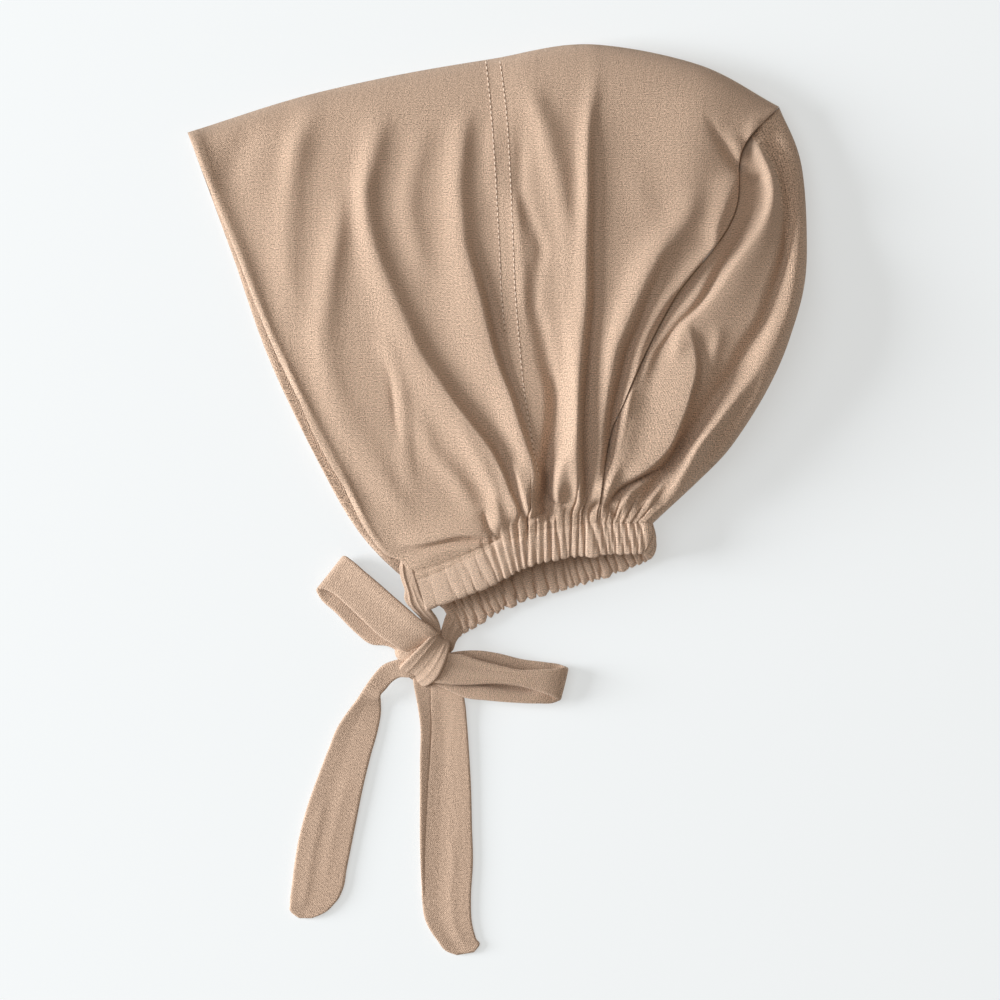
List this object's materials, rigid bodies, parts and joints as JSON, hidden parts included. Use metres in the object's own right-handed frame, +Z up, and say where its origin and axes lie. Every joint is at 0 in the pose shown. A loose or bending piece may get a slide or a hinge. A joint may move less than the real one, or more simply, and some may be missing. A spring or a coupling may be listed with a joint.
{
  "type": "hijab underscarf cap",
  "caption": "Jersey underscarf cap lying on its side: open face edge, gathered back, ruffled elastic casing at the nape and a tie in a bow.",
  "frame": {"origin": "middle of the floor area that the cap and its ties cover, on the floor", "axes": "+X from the face edge to the back of the cap, +Y from the ties to the top fold, +Z up from the floor that the cap lies on"},
  "size_m": [0.2838, 0.4168, 0.0316],
  "materials": {
    "jersey": "matte beige cotton jersey",
    "casing_jersey": "matte beige cotton jersey, ruffled on elastic",
    "tie_jersey": "matte beige cotton jersey, doubled into a flat tie"
  },
  "bodies": {
    "root": {"crown_panel": "jersey", "back_panel": "jersey", "nape_casing": "casing_jersey", "tie_near": "tie_jersey", "tie_far": "tie_jersey", "bow_knot": "tie_jersey", "bow_loop_left": "tie_jersey", "bow_loop_right": "tie_jersey", "bow_tail_left": "tie_jersey", "bow_tail_right": "tie_jersey"}
  },
  "joints": []
}
